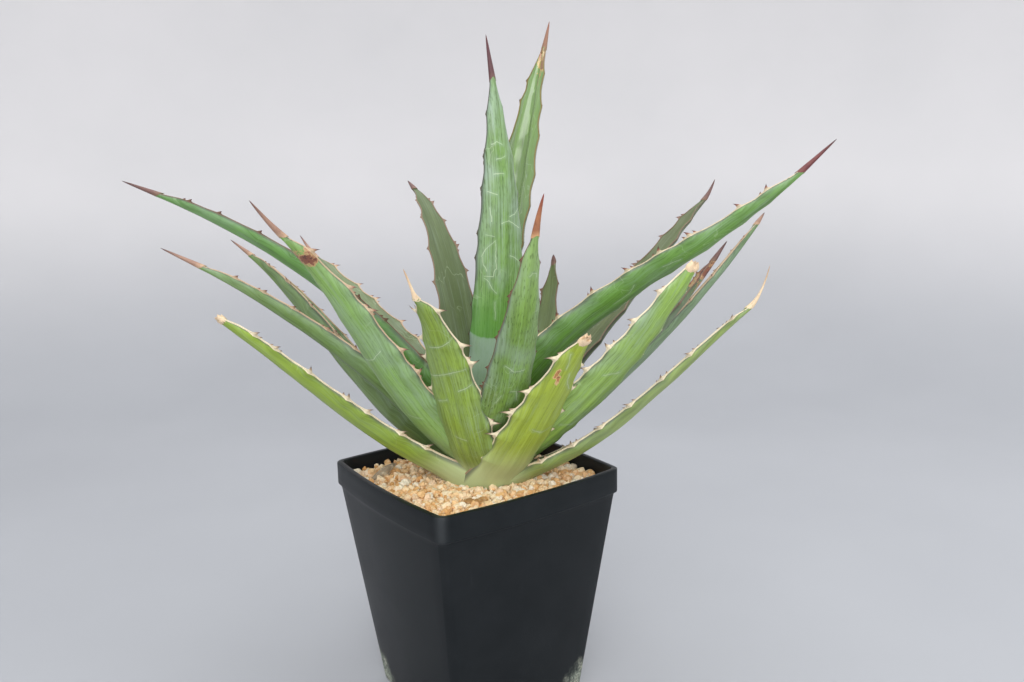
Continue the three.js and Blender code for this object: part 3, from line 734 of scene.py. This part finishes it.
def drain_cutter():
    """Upright cylinders where the drain holes are."""
    cutters = []
    for i in range(DRAIN_COUNT):
        a = i / DRAIN_COUNT * 2 * math.pi
        at = (DRAIN_RING * math.cos(a) * MM, DRAIN_RING * math.sin(a) * MM, 0.5 * FLOOR * MM)
        deselect()
        bpy.ops.mesh.primitive_cylinder_add(
            vertices=DRAIN_SIDES, radius=DRAIN_RADIUS * MM, depth=3 * FLOOR * MM, location=at)
        cutters.append(bpy.context.object)
    return join("drain_cutter", cutters)


def pot_piece():
    """The pot: one moulded shell with soft edges, its band and its drain holes."""
    rings = [pot_ring(0, -30, 2), pot_ring(0, -12, 4), pot_ring(0, -1.4), pot_ring(0.15, -0.6),
             pot_ring(0.6, -0.12), pot_ring(1.4, 0)]
    rings += [pot_ring(z, 0) for z in np.linspace(4, BAND_FOOT - 3, 22)]
    rings += [pot_ring(BAND_FOOT + z, BAND_PROUD - back) for z, back in BAND_RINGS]
    rings += [inner_ring(POT_HEIGHT, 0.5, 0.5), inner_ring(POT_HEIGHT - 0.2, 0.12, 0.1)]
    rings += [inner_ring(z) for z in (POT_HEIGHT - 0.8, 116, 112, BAND_FOOT, 90, 60, 30, 8, 4.4)]
    rings += [inner_ring(3, -0.5), inner_ring(FLOOR, -2), pot_ring(FLOOR, -12, 3), pot_ring(FLOOR, -30, 1)]
    shell = skin("pot_shell", with_poles(np.array(rings, float), (0, 0, 0), (0, 0, FLOOR)))
    cutter = drain_cutter()
    holes = shell.modifiers.new("drain_holes", "BOOLEAN")
    holes.operation = "DIFFERENCE"
    holes.solver = "EXACT"
    holes.object = cutter
    choose(shell)
    bpy.ops.object.modifier_apply(modifier=holes.name)
    bpy.data.objects.remove(cutter)
    shade(shell, 35)
    return shell


def grit_height(x, y):
    return GRIT_LEVEL - GRIT_TILT * (x + y) / POT_SIDE


def stones():
    """A few broken stones, each cut from a bevelled block."""
    made = []
    for kind in range(STONE_KINDS):
        deselect()
        bpy.ops.mesh.primitive_cube_add(size=2 * MM)
        open_mesh()
        bpy.ops.mesh.bevel(offset=blend(0.5, 0.8, chance(kind, 3)) * MM, segments=1, affect="EDGES")
        bpy.ops.object.mode_set(mode="OBJECT")
        stone = bpy.context.object
        for k, vertex in enumerate(stone.data.vertices):
            push = Vector([chance(kind * 31 + k, c) - 0.5 for c in (1, 2, 3)])
            vertex.co += push * STONE_UNEVEN * MM
        made.append(stone)
    return made


def inside_pot(x, y, clearance):
    half = wall_side(GRIT_LEVEL) / 2 - WALL - clearance
    bow = SIDE_BOW * 2 * half / POT_SIDE
    reach_x, reach_y = half - bow * (y / half) ** 2, half - bow * (x / half) ** 2
    if abs(x) > reach_x or abs(y) > reach_y:
        return False
    over_x, over_y = abs(x) - (reach_x - CORNER_RADIUS), abs(y) - (reach_y - CORNER_RADIUS)
    return over_x < 0 or over_y < 0 or math.hypot(over_x, over_y) < CORNER_RADIUS


def grit_bed():
    """The fill under the loose grains, down to the pot's floor."""
    deselect()
    bpy.ops.mesh.primitive_grid_add(x_subdivisions=BED_CELLS, y_subdivisions=BED_CELLS, size=2)
    bed = bpy.context.object
    open_mesh()
    bpy.ops.mesh.extrude_region_move(TRANSFORM_OT_translate={"value": (0, 0, -1)})
    bpy.ops.object.mode_set(mode="OBJECT")
    half = wall_side(GRIT_LEVEL) / 2 - WALL - 0.3
    low = wall_side(FLOOR) / 2 - WALL - 0.9
    for vertex in bed.data.vertices:
        u, v, w = vertex.co
        size = low if w < -0.5 else half
        round_off = 1 - 0.035 * (abs(u) * abs(v)) ** 6
        x = u * round_off * (size - SIDE_BOW * v * v * size / (POT_SIDE / 2))
        y = v * round_off * (size - SIDE_BOW * u * u * size / (POT_SIDE / 2))
        lump = BED_UNEVEN * noise.noise(Vector((x / BED_LUMP, y / BED_LUMP, 0)))
        vertex.co = Vector((x, y, FLOOR + 0.4 if w < -0.5 else grit_height(x, y) - BED_BELOW + lump)) * MM
    open_mesh()
    close_mesh()
    return bed


def grains():
    """Two loose layers of grains: each one's place, half sizes, turn, tone and kind."""
    scattered = []
    cells = int(2 * GRIT_REACH / GRAIN_STEP)
    for layer in range(2):
        for j in range(cells + 1):
            for i in range(cells + 1):
                k = (layer * 97 + j) * 131 + i
                x = -GRIT_REACH + (i + 0.5 * layer + GRAIN_STRAYS * (chance(k, 1) - 0.5)) * GRAIN_STEP
                y = -GRIT_REACH + (j + 0.5 * layer + GRAIN_STRAYS * (chance(k, 2) - 0.5)) * GRAIN_STEP
                if not inside_pot(x, y, 0.9) or chance(k, 12) < 0.3 * layer:
                    continue
                radius = GRAIN_RADIUS * blend(0.5, 1.7, chance(k, 3) ** 2)
                lift = -1.1 + 1.2 * layer + 1.1 * (chance(k, 4) - 0.5)
                sizes = Vector([radius * blend(0.75, 1.25, chance(k, c)) for c in (5, 6, 7)])
                turn = Euler([6.28 * chance(k, c) for c in (8, 9, 10)])
                tone = 0.1 + 0.85 * chance(k, 11)
                scattered.append(((x, y, grit_height(x, y) + lift), sizes, turn, tone, k))
    return scattered


def pebbles():
    """The larger stones, as grains are given."""
    laid = []
    for n, (x, y, lift, sizes, tilted, turned, tone) in enumerate(PEBBLES):
        turn = Euler((0.1, math.radians(tilted), math.radians(turned)))
        laid.append(((x, y, grit_height(x, y) + lift), Vector(sizes), turn, tone, n))
    return laid


def grit_piece():
    """Loose grains over their bed, each a turned and stretched copy of a stone, with a tone of its own."""
    kinds = stones()
    bed = grit_bed()
    heap = bmesh.new()
    heap.from_mesh(bed.data)
    tones = heap.verts.layers.float.new("tone")
    for vertex in heap.verts:
        vertex[tones] = 0.3
    for place, sizes, turn, tone, k in grains() + pebbles():
        before = len(heap.verts)
        heap.from_mesh(kinds[k % STONE_KINDS].data)
        heap.verts.ensure_lookup_table()
        spin = turn.to_matrix()
        for m in range(before, len(heap.verts)):
            vertex = heap.verts[m]
            own = Vector(vertex.co[c] * sizes[c] for c in range(3))
            vertex.co = spin @ own + Vector(place) * MM
            vertex[tones] = tone
    heap.to_mesh(bed.data)
    heap.free()
    for stone in kinds:
        bpy.data.objects.remove(stone)
    bed.name = bed.data.name = "grains"
    return bed


class Wire:
    """A value that runs between the nodes of a material, so that sums of values are written as sums."""

    def __init__(self, socket):
        self.socket = socket
        self.tree = socket.id_data

    def __add__(self, other):
        return maths("ADD", self, other)

    def __sub__(self, other):
        return maths("SUBTRACT", self, other)

    def __rsub__(self, other):
        return maths("SUBTRACT", other, self)

    def __mul__(self, other):
        return maths("MULTIPLY", self, other)

    def __pow__(self, other):
        return maths("POWER", self, other)

    def __abs__(self):
        return maths("ABSOLUTE", self)


def feed(socket, value):
    """Wires a node's input from a wire, or sets it to a number, a vector or a colour."""
    if isinstance(value, Wire):
        value.tree.links.new(value.socket, socket)
    elif socket.type == "RGBA":
        socket.default_value = (*value, 1)
    else:
        socket.default_value = value


def through(kind, inputs, output=0, **settings):
    """Leads values through a new node and gives one of its outputs."""
    tree = next(value.tree for value in inputs.values() if isinstance(value, Wire))
    node = tree.nodes.new("ShaderNode" + kind)
    for name, value in settings.items():
        setattr(node, name, value)
    for name, value in inputs.items():
        feed(node.inputs[name], value)
    return Wire(node.outputs[output])


def maths(operation, a, b=0, clamp=False):
    return through("Math", {0: a, 1: b}, operation=operation, use_clamp=clamp)


def clamped(a, b):
    """The product of two values, kept between 0 and 1."""
    return maths("MULTIPLY", a, b, clamp=True)


def vectors(operation, a, b=(0, 0, 0)):
    output = "Value" if operation in ("LENGTH", "DOT_PRODUCT") else "Vector"
    return through("VectorMath", {0: a, 1: b}, output, operation=operation)


def band(value, low, high):
    """0 below low, 1 above high and smooth between; low may be the larger one."""
    inputs = {"Value": value, "From Min": low, "From Max": high}
    return through("MapRange", inputs, interpolation_type="SMOOTHSTEP")


def over(colour, *layers):
    """A colour with others laid over it, one by one, each by its share."""
    for share, paint in layers:
        colour = through("Mix", {0: share, 6: colour, 7: paint}, 2, data_type="RGBA")
    return colour


def ramp(share, stops):
    wire = through("ValToRGB", {0: share})
    elements = wire.socket.node.color_ramp.elements
    while len(elements) < len(stops):
        elements.new(0.5)
    for element, (at, colour) in zip(elements, stops):
        element.position = at
        element.color = (*colour, 1)
    return wire


def grain(vector, scale, detail=2, roughness=0.5, output=0):
    inputs = {"Vector": vector, "Scale": scale, "Detail": detail, "Roughness": roughness}
    return through("TexNoise", inputs, output)


def stretched(vector, sizes, shift=(0, 0, 0)):
    return through("Mapping", {"Vector": vector, "Scale": sizes, "Location": shift})


def parts(vector):
    node = through("SeparateXYZ", {0: vector}).socket.node
    return [Wire(output) for output in node.outputs]


def fresh_material(name, roughness, specular):
    material = bpy.data.materials.new(name)
    material.use_nodes = True
    shader(material)["Roughness"].default_value = roughness
    shader(material)["Specular IOR Level"].default_value = specular
    return material


def shader(material):
    return material.node_tree.nodes["Principled BSDF"].inputs


def kept(material, name, output="Vector"):
    """What a mesh keeps on its points under a name."""
    node = material.node_tree.nodes.new("ShaderNodeAttribute")
    node.attribute_name = name
    return Wire(node.outputs[output])


def object_place(material):
    return Wire(material.node_tree.nodes.new("ShaderNodeTexCoord").outputs["Object"])


def finished(material, colour, height, strength, distance):
    """The material with its colour, and with its relief in mm."""
    feed(shader(material)["Base Color"], colour)
    relief = {"Strength": strength, "Distance": distance * MM, "Height": height}
    feed(shader(material)["Normal"], through("Bump", relief))
    return material


def flow(leaf, lay, across, along, detail=2, roughness=0.5):
    """Noise drawn out along a leaf, other on each one."""
    own = (leaf["age"] * 11.3, leaf["age"] * 5.1, leaf["age"] * 3.3)
    return grain(stretched(lay, (across, along, 1), own), 1, detail, roughness)


def imprint_gap(lay, lines):
    """How far the skin is from the nearest line pressed into an outer face, in mm."""
    wobble = vectors("SUBTRACT", grain(lay, 0.35, output="Color"), (0.5, 0.5, 0))
    spot = vectors("MULTIPLY", lay, (1, 1, 0))
    spot = vectors("ADD", spot, vectors("MULTIPLY", wobble, (1.1, 1.1, 0)))
    nearest = None
    for line in lines:
        places = list(zip(line[::2], line[1::2]))
        for a, b in zip(places, places[1:]):
            step = (b[0] - a[0], b[1] - a[1], 0)
            long = step[0] ** 2 + step[1] ** 2
            off = vectors("SUBTRACT", spot, (*a, 0))
            share = vectors("DOT_PRODUCT", off, tuple(c / long for c in step))
            share = maths("MAXIMUM", maths("MINIMUM", share, 1), 0)
            along = through("VectorMath", {0: step, "Scale": share}, operation="SCALE")
            gap = vectors("LENGTH", vectors("SUBTRACT", off, along))
            nearest = gap if nearest is None else maths("MINIMUM", nearest, gap)
    return nearest


def pressed_lines(gap, clouds, inside, colour):
    """The pale lines themselves, each in a faint halo. The inner face has none."""
    outside = 1 - inside
    shown = band(clouds, 0.3, 0.6) * 0.45 + 0.25
    return over(colour, (band(gap, 1.7, 0.2) * (outside * 0.2), BLOOM),
                (band(gap, 0.27, 0.04) * outside * shown, IMPRINT))


def faint_net(lay, patches, colour):
    """A wandering net of faint lines, here and there."""
    curl = vectors("MULTIPLY", lay, (0.075, 0.04, 0.02))
    bend = vectors("MULTIPLY", grain(curl, 2.5, output="Color"), (0.9, 0.9, 0))
    inputs = {"Vector": vectors("ADD", curl, bend), "Scale": 1}
    edges = through("TexVoronoi", inputs, "Distance", feature="DISTANCE_TO_EDGE")
    return over(colour, (band(edges, 0.016, 0.002) * band(patches, 0.52, 0.6) * 0.2, IMPRINT))


def dry_patch(leaf, lay, colour, patch):
    """A torn patch that has dried: a tan rim, a brown middle and dark cracks."""
    across, along, wide, long, dark, rim, middle = patch
    off = vectors("SUBTRACT", vectors("MULTIPLY", lay, (1, 1, 0)), (across, along, 0))
    off = vectors("MULTIPLY", off, (1 / wide, 1 / long, 0))
    reach = vectors("LENGTH", off) + flow(leaf, lay, 0.3, 0.22, 5, 0.75) * 3
    cracks = band(flow(leaf, lay, 0.75, 0.5, 4, 0.7), 0.5, 0.62)
    return over(colour, (band(reach, 2.5, 2.35), rim), (band(reach, 2.3, 2.0), middle),
                (cracks * band(reach, 2.3, 1.8) * dark, CRACK))


def shaded_foot(place, clouds, colour):
    """Where other leaves long covered this one it is pale, and right above that a fresh deep green."""
    height = place[1] - (abs(place[0]) ** 4 * 0.00009 + clouds * 4)
    fresh = maths("MINIMUM", band(height, 51, 53), band(height, 84, 55))
    pale = clamped(band(height, 53.2, 52), clouds * 0.9 + 0.3)
    return over(colour, (fresh * 0.65, SHELTERED), (pale, GLAUCOUS))


def ripe_tip(place, form, fine, colour, deep):
    """A yellower tip with short dark dashes, and a pale band across the blade."""
    slope = place[1] - place[0] * -0.65
    pale = maths("MINIMUM", band(slope, 86, 93), band(slope, 101, 95))
    return over(colour, (band(form[1], 0.72, 0.95) * 0.4, RIPE), (band(fine, 0.56, 0.68) * 0.5, deep),
                (pale * 0.3, BLOOM))


def leaf_material(leaf):
    """A leaf's skin: rows of fine dashes, a waxy bloom, a pale foot and the pale lines pressed into it, with
    painted shade on its inner face and along both edges.
    """
    name = leaf["name"]
    body, haze, dark = SKINS[name]
    shaded, deep = tuple(0.8 * c for c in body), tuple(0.34 * c for c in body)
    light = tuple(1.3 * c + 0.012 for c in body)
    material = fresh_material("leaf_" + name, 0.4, 0.4)
    lay = kept(material, "lay")
    place, form = parts(lay), parts(kept(material, "form"))
    fine, rows = flow(leaf, lay, 1.9, 0.3), flow(leaf, lay, 1.7, 0.035)
    streaks, patches = flow(leaf, lay, 0.36, 0.012), flow(leaf, lay, 0.05, 0.03)
    clouds = flow(leaf, lay, 0.12, 0.05, 4, 0.6)
    bloom = band(clouds, 0.4, 0.7) + form[0] ** 3
    dashes = band(fine, 0.52, 0.7) * 0.8 + band(rows, 0.48, 0.66) * 0.9
    inside = clamped(place[2], 1 / INNER_MARK)
    foot = band(place[1], PALE_TO.get(name, PALE_REACH), 4) + streaks * 0.3
    # where the painted edge shade shows: in patches, and all along the leaf's lower part
    seam = maths("MAXIMUM", band(clouds, 0.2, 0.5), band(place[1], 40, 15))
    colour = over(
        ramp(streaks, [(0.32, shaded), (0.7, light)]),
        (clamped(bloom, 0.75 * haze), BLOOM),
        (band(patches, 0.5, 0.68) * 0.5, body),
        (clamped(dashes, 0.62 * dark), deep),
        (band(rows, 0.47, 0.33) * (0.5 * dark), BLOOM),
        # painted shade on the inner face
        (inside * 0.35, PAINTED_INNER_SHADE),
        (band(foot, 0.3, 1.1) * 0.85, PALE_FOOT),
        # painted shade along the edges
        (band(form[0], 0.93, 1) * 0.8 * seam, PAINTED_EDGE_SHADE))
    if name == "20":
        colour = shaded_foot(place, clouds, colour)
    if name == "17":
        colour = ripe_tip(place, form, fine, colour, deep)
    if name in IMPRINTS:
        colour = pressed_lines(imprint_gap(lay, IMPRINTS[name]), clouds, inside, colour)
    colour = faint_net(lay, patches, colour)
    for patch in PATCHES.get(name, []):
        colour = dry_patch(leaf, lay, colour, patch)
    gloss = GLOSS
    if name == FLUTED_LEAF:
        gloss = WET_GLOSS
        for socket, value in WET_COAT.items():
            shader(material)[socket].default_value = value
    feed(shader(material)["Roughness"], clouds * 0.25 + gloss)
    return finished(material, colour, fine + rows, 0.22, 0.2)


def horn_material(kind):
    """Dry horn: a pale line, darker teeth with dark points, and a spine that darkens to its tip."""
    horn = HORNS[kind]
    material = fresh_material("horn_" + kind, 0.5, 0.35)
    tooth, spine, length = parts(kept(material, "horn"))
    place = object_place(material)
    flecks = grain(place, 900, 3, 0.6)
    needle = [(0.02, horn["foot"]), (0.16, horn["spine"]), (0.5, horn["spine"]), (1, horn["tip"])]
    colour = over(
        horn["line"],
        (band(tooth, 0.05, 0.35), horn["tooth"]),
        (band(tooth, 0.3, 0.75), horn["point"]),
        (band(spine, 0, 0.01), ramp(spine, needle)),
        (band(length, 30, 12) * band(spine, 0.01, 0) * 0.75, OLD_HORN),
        (band(grain(place, 160), 0.5, 0.7) * 0.25, horn["tooth"]),
        (band(flecks, 0.52, 0.75) * 0.3, horn["point"]))
    return finished(material, colour, flecks, 0.4, 0.2)


def grit_material():
    """Crushed mineral grains: tan, orange and cream, each with its own tone, and a few white and grey."""
    material = fresh_material("grit", 0.85, 0.3)
    tone = kept(material, "tone", "Fac")
    place = object_place(material)
    speckle = grain(place, 1400, 3, 0.6)
    colour = over(
        ramp(tone, GRAIN_TONES),
        (band(tone, 1, 1.02), WHITE_GRAIN),
        (band(tone, 1.18, 1.2), GREY_GRAIN),
        (band(speckle, 0.45, 0.7) * 0.4, SPECK),
        (band(grain(place, 420), 0.5, 0.75) * 0.4, CREAM_STAIN))
    return finished(material, colour, speckle, 0.6, 0.4)


def pot_material():
    """Black moulded plastic with faint scuffs and dust, a painted highlight on the corners of its band, and a
    pale mineral crust round its foot.
    """
    material = fresh_material("pot", 0.4, 0.15)
    place = object_place(material)
    across, back, up = parts(place)
    scuffs = grain(stretched(place, (260, 260, 18)), 1, 4, 0.65)
    dust = grain(place, 38, 5, 0.65)
    sides = abs(across), abs(back)
    off_corner = maths("MAXIMUM", *sides) - maths("MINIMUM", *sides)
    reach = band(abs(across - back), 0.045, 0.076) * 0.023 + -0.004
    streaks = grain(stretched(place, (150, 150, 90)), 1, 5, 0.7)
    level = reach + (streaks - 0.5) * 0.024 - up
    crumbs = grain(place, 700, 4, 0.7)
    crust = band(level, -0.002, 0.01) * (band(crumbs, 0.4, 0.6) * 0.65 + 0.35)
    colour = over(
        ramp(dust, PLASTIC),
        (band(scuffs, 0.62, 0.8) * 0.12, SCUFF),
        # painted highlight on the band's four corners
        (band(off_corner, 0.006, 0) * 0.4 * band(up, 0.105, 0.11), PAINTED_CORNER_HIGHLIGHT),
        (crust, ramp(streaks, CHALK)))
    feed(shader(material)["Roughness"], dust * 0.2 + 0.27 + crust * 0.4)
    return finished(material, colour, grain(place, 1500) + crust * crumbs * 4, 0.18, 0.25)


def stem_material():
    material = fresh_material("stem", 0.7, 0.3)
    fibres = grain(stretched(object_place(material), (900, 900, 120)), 1, 4, 0.6)
    return finished(material, ramp(fibres, STOCK), fibres, 0.5, 0.4)


def sweep_material():
    """A pale sweep whose wall is a little lighter than its floor."""
    material = fresh_material("sweep", 0.9, 0.2)
    place = object_place(material)
    weave = grain(place, 3, 3)
    up = band(parts(place)[2], 0, 0.3)
    feed(shader(material)["Base Color"], over(ramp(weave, SWEEP_FLOOR), (up, ramp(weave, SWEEP_WALL))))
    return material


def sweep():
    """A plain pale floor that curves up all round."""
    deselect()
    bpy.ops.mesh.primitive_circle_add(vertices=96, radius=SWEEP_RADIUS, fill_type="NGON", location=(0, 0, 0))
    floor = bpy.context.object
    floor.name = "sweep"
    open_mesh()
    bpy.ops.mesh.inset(thickness=0.001)
    bpy.ops.mesh.select_all(action="SELECT")
    bpy.ops.mesh.region_to_loop()
    radius, height = SWEEP_RADIUS, 0.0
    for step in range(1, SWEEP_STEPS + 1):
        a = step / SWEEP_STEPS * math.pi / 2
        to_radius, to_height = SWEEP_RADIUS + SWEEP_CURVE * math.sin(a), SWEEP_CURVE * (1 - math.cos(a))
        bpy.ops.mesh.extrude_region_move(TRANSFORM_OT_translate={"value": (0, 0, to_height - height)})
        wider = to_radius / radius
        bpy.ops.transform.resize(value=(wider, wider, 1), center_override=(0, 0, 0))
        radius, height = to_radius, to_height
    bpy.ops.mesh.extrude_region_move(TRANSFORM_OT_translate={"value": (0, 0, SWEEP_HEIGHT)})
    bpy.ops.mesh.select_all(action="SELECT")
    close_mesh(inside=True)
    floor.data.materials.append(sweep_material())
    shade(floor, 60)


def lights():
    """Soft light from above and in front, and a little from all round."""
    world = bpy.data.worlds.new("soft_light")
    bpy.context.scene.world = world
    world.use_nodes = True
    sky = world.node_tree.nodes["Background"]
    sky.inputs["Color"].default_value = SKY
    sky.inputs["Strength"].default_value = SKY_POWER
    for name, (place, size, power) in LAMPS.items():
        data = bpy.data.lights.new(name, "AREA")
        data.energy = power
        data.size = size
        lamp = bpy.data.objects.new(name, data)
        bpy.context.scene.collection.objects.link(lamp)
        lamp.location = place
        lamp.rotation_euler = (LAMPS_AIM_AT - Vector(place)).to_track_quat("-Z", "Y").to_euler()


def camera():
    data = bpy.data.cameras.new("camera")
    data.sensor_width = 36
    data.lens = LENS
    data.clip_start = 0.01
    eye = bpy.data.objects.new("camera", data)
    bpy.context.scene.collection.objects.link(eye)
    turn = Matrix((EYE_RIGHT, EYE_UP, -EYE_AHEAD)).transposed()
    eye.matrix_world = Matrix.Translation(EYE) @ turn.to_quaternion().to_matrix().to_4x4()
    bpy.context.scene.camera = eye
    bpy.context.scene.view_settings.view_transform = "Standard"


def build():
    """The finished pieces, each over the CAD node that it stands for. The stem keeps its own mesh."""
    horns = {kind: horn_material(kind) for kind in HORNS}
    for age, row in enumerate(LEAVES):
        leaf = read_leaf(age, row)
        blade = leaf_piece(leaf)
        dress(blade, leaf_material(leaf), "leaf_" + leaf["green"], "leaf_" + leaf["name"])
        margin = margin_piece(leaf)
        dress(margin, horns[horn_of(leaf)], "horn_" + leaf["horn"], "margin_" + leaf["name"])
    dress(grit_piece(), grit_material(), "grit", "grit")
    dress(pot_piece(), pot_material(), "pot", "pot")
    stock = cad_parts["stem"]
    stock.data.materials.clear()
    stock.data.materials.append(stem_material())


build()
sweep()
lights()
camera()
